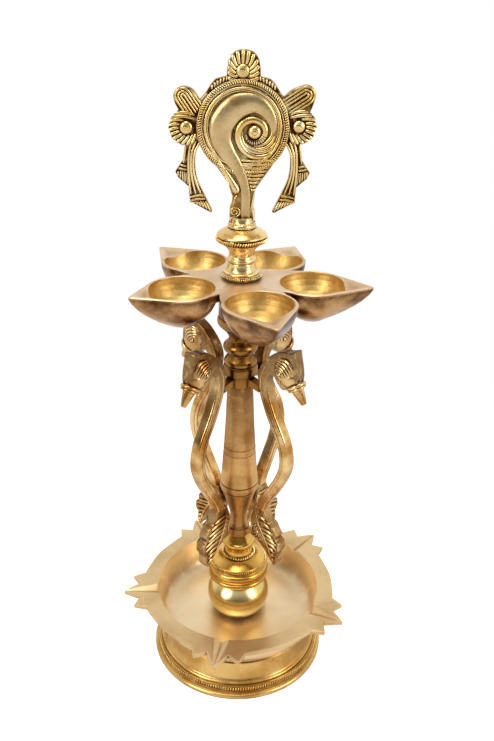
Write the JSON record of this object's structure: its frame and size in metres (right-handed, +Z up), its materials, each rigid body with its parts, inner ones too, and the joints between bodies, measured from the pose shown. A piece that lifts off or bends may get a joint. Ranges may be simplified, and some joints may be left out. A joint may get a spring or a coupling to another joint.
{
  "type": "aarti lamp",
  "caption": "Standing brass oil lamp: spouted tray on a hollow foot, turned pillar with cast swans, a plate of pointed oil cups and a conch emblem on top.",
  "frame": {"origin": "on the lamp's axis, in the plane that its foot stands on", "axes": "+Z up along the stem; the emblem's front faces -Y; +X is to the right seen from the front"},
  "size_m": [0.1272, 0.1241, 0.3301],
  "materials": {
    "foot_brass": "polished with brown in the grooves",
    "tray_brass": "pale satin, machined",
    "polished_brass": "polished",
    "antique_brass": "polished with brown patina",
    "cup_brass": "bright bowls, brown undersides",
    "swan_brass": "filed and polished casting",
    "carved_brass": "polished relief, brown in the carving",
    "steel": "plain machined",
    "fibre": "thin fibre washer"
  },
  "bodies": {
    "base": {"foot_drum": "foot_brass", "oil_tray": "tray_brass", "globe_knob": "polished_brass", "base_stud": "steel", "base_washer": "steel", "base_nut": "steel"},
    "stem_washer": {"stem_washer": "fibre"},
    "stem": {"stem_stud": "steel", "stem_base": "polished_brass", "lower_collar": "antique_brass", "pillar": "antique_brass", "upper_collar": "antique_brass", "capital": "antique_brass", "swan_front_right": "swan_brass", "swan_back_right": "swan_brass", "swan_back_left": "swan_brass", "swan_front_left": "swan_brass"},
    "cup_plate": {"cup_plate": "cup_brass"},
    "finial_washer": {"finial_washer": "fibre"},
    "finial": {"finial_stud": "steel", "finial_spool": "polished_brass", "conch_emblem": "carved_brass"}
  },
  "joints": [
    {"name": "stem_rise", "type": "slide", "parent": "base", "child": "stem_washer", "axis": [0, 0, 1], "range_m": [0, 0.01]},
    {"name": "stem_turn", "type": "hinge", "parent": "stem_washer", "child": "stem", "pos_m": [0, 0, 0.0468], "axis": [0, 0, 1], "range_deg": [0, 2880]},
    {"name": "cup_plate_turn", "type": "hinge", "parent": "stem", "child": "cup_plate", "pos_m": [0, 0, 0.208], "axis": [0, 0, 1], "continuous": true},
    {"name": "finial_rise", "type": "slide", "parent": "stem", "child": "finial_washer", "axis": [0, 0, 1], "range_m": [0, 0.008]},
    {"name": "finial_turn", "type": "hinge", "parent": "finial_washer", "child": "finial", "pos_m": [0, 0, 0.2282], "axis": [0, 0, 1], "range_deg": [0, 2880]}
  ],
  "couplings": [
    {"joint": "stem_rise", "follows": "stem_turn", "m_per_rad": 0.00019894},
    {"joint": "finial_rise", "follows": "finial_turn", "m_per_rad": 0.00015915}
  ]
}
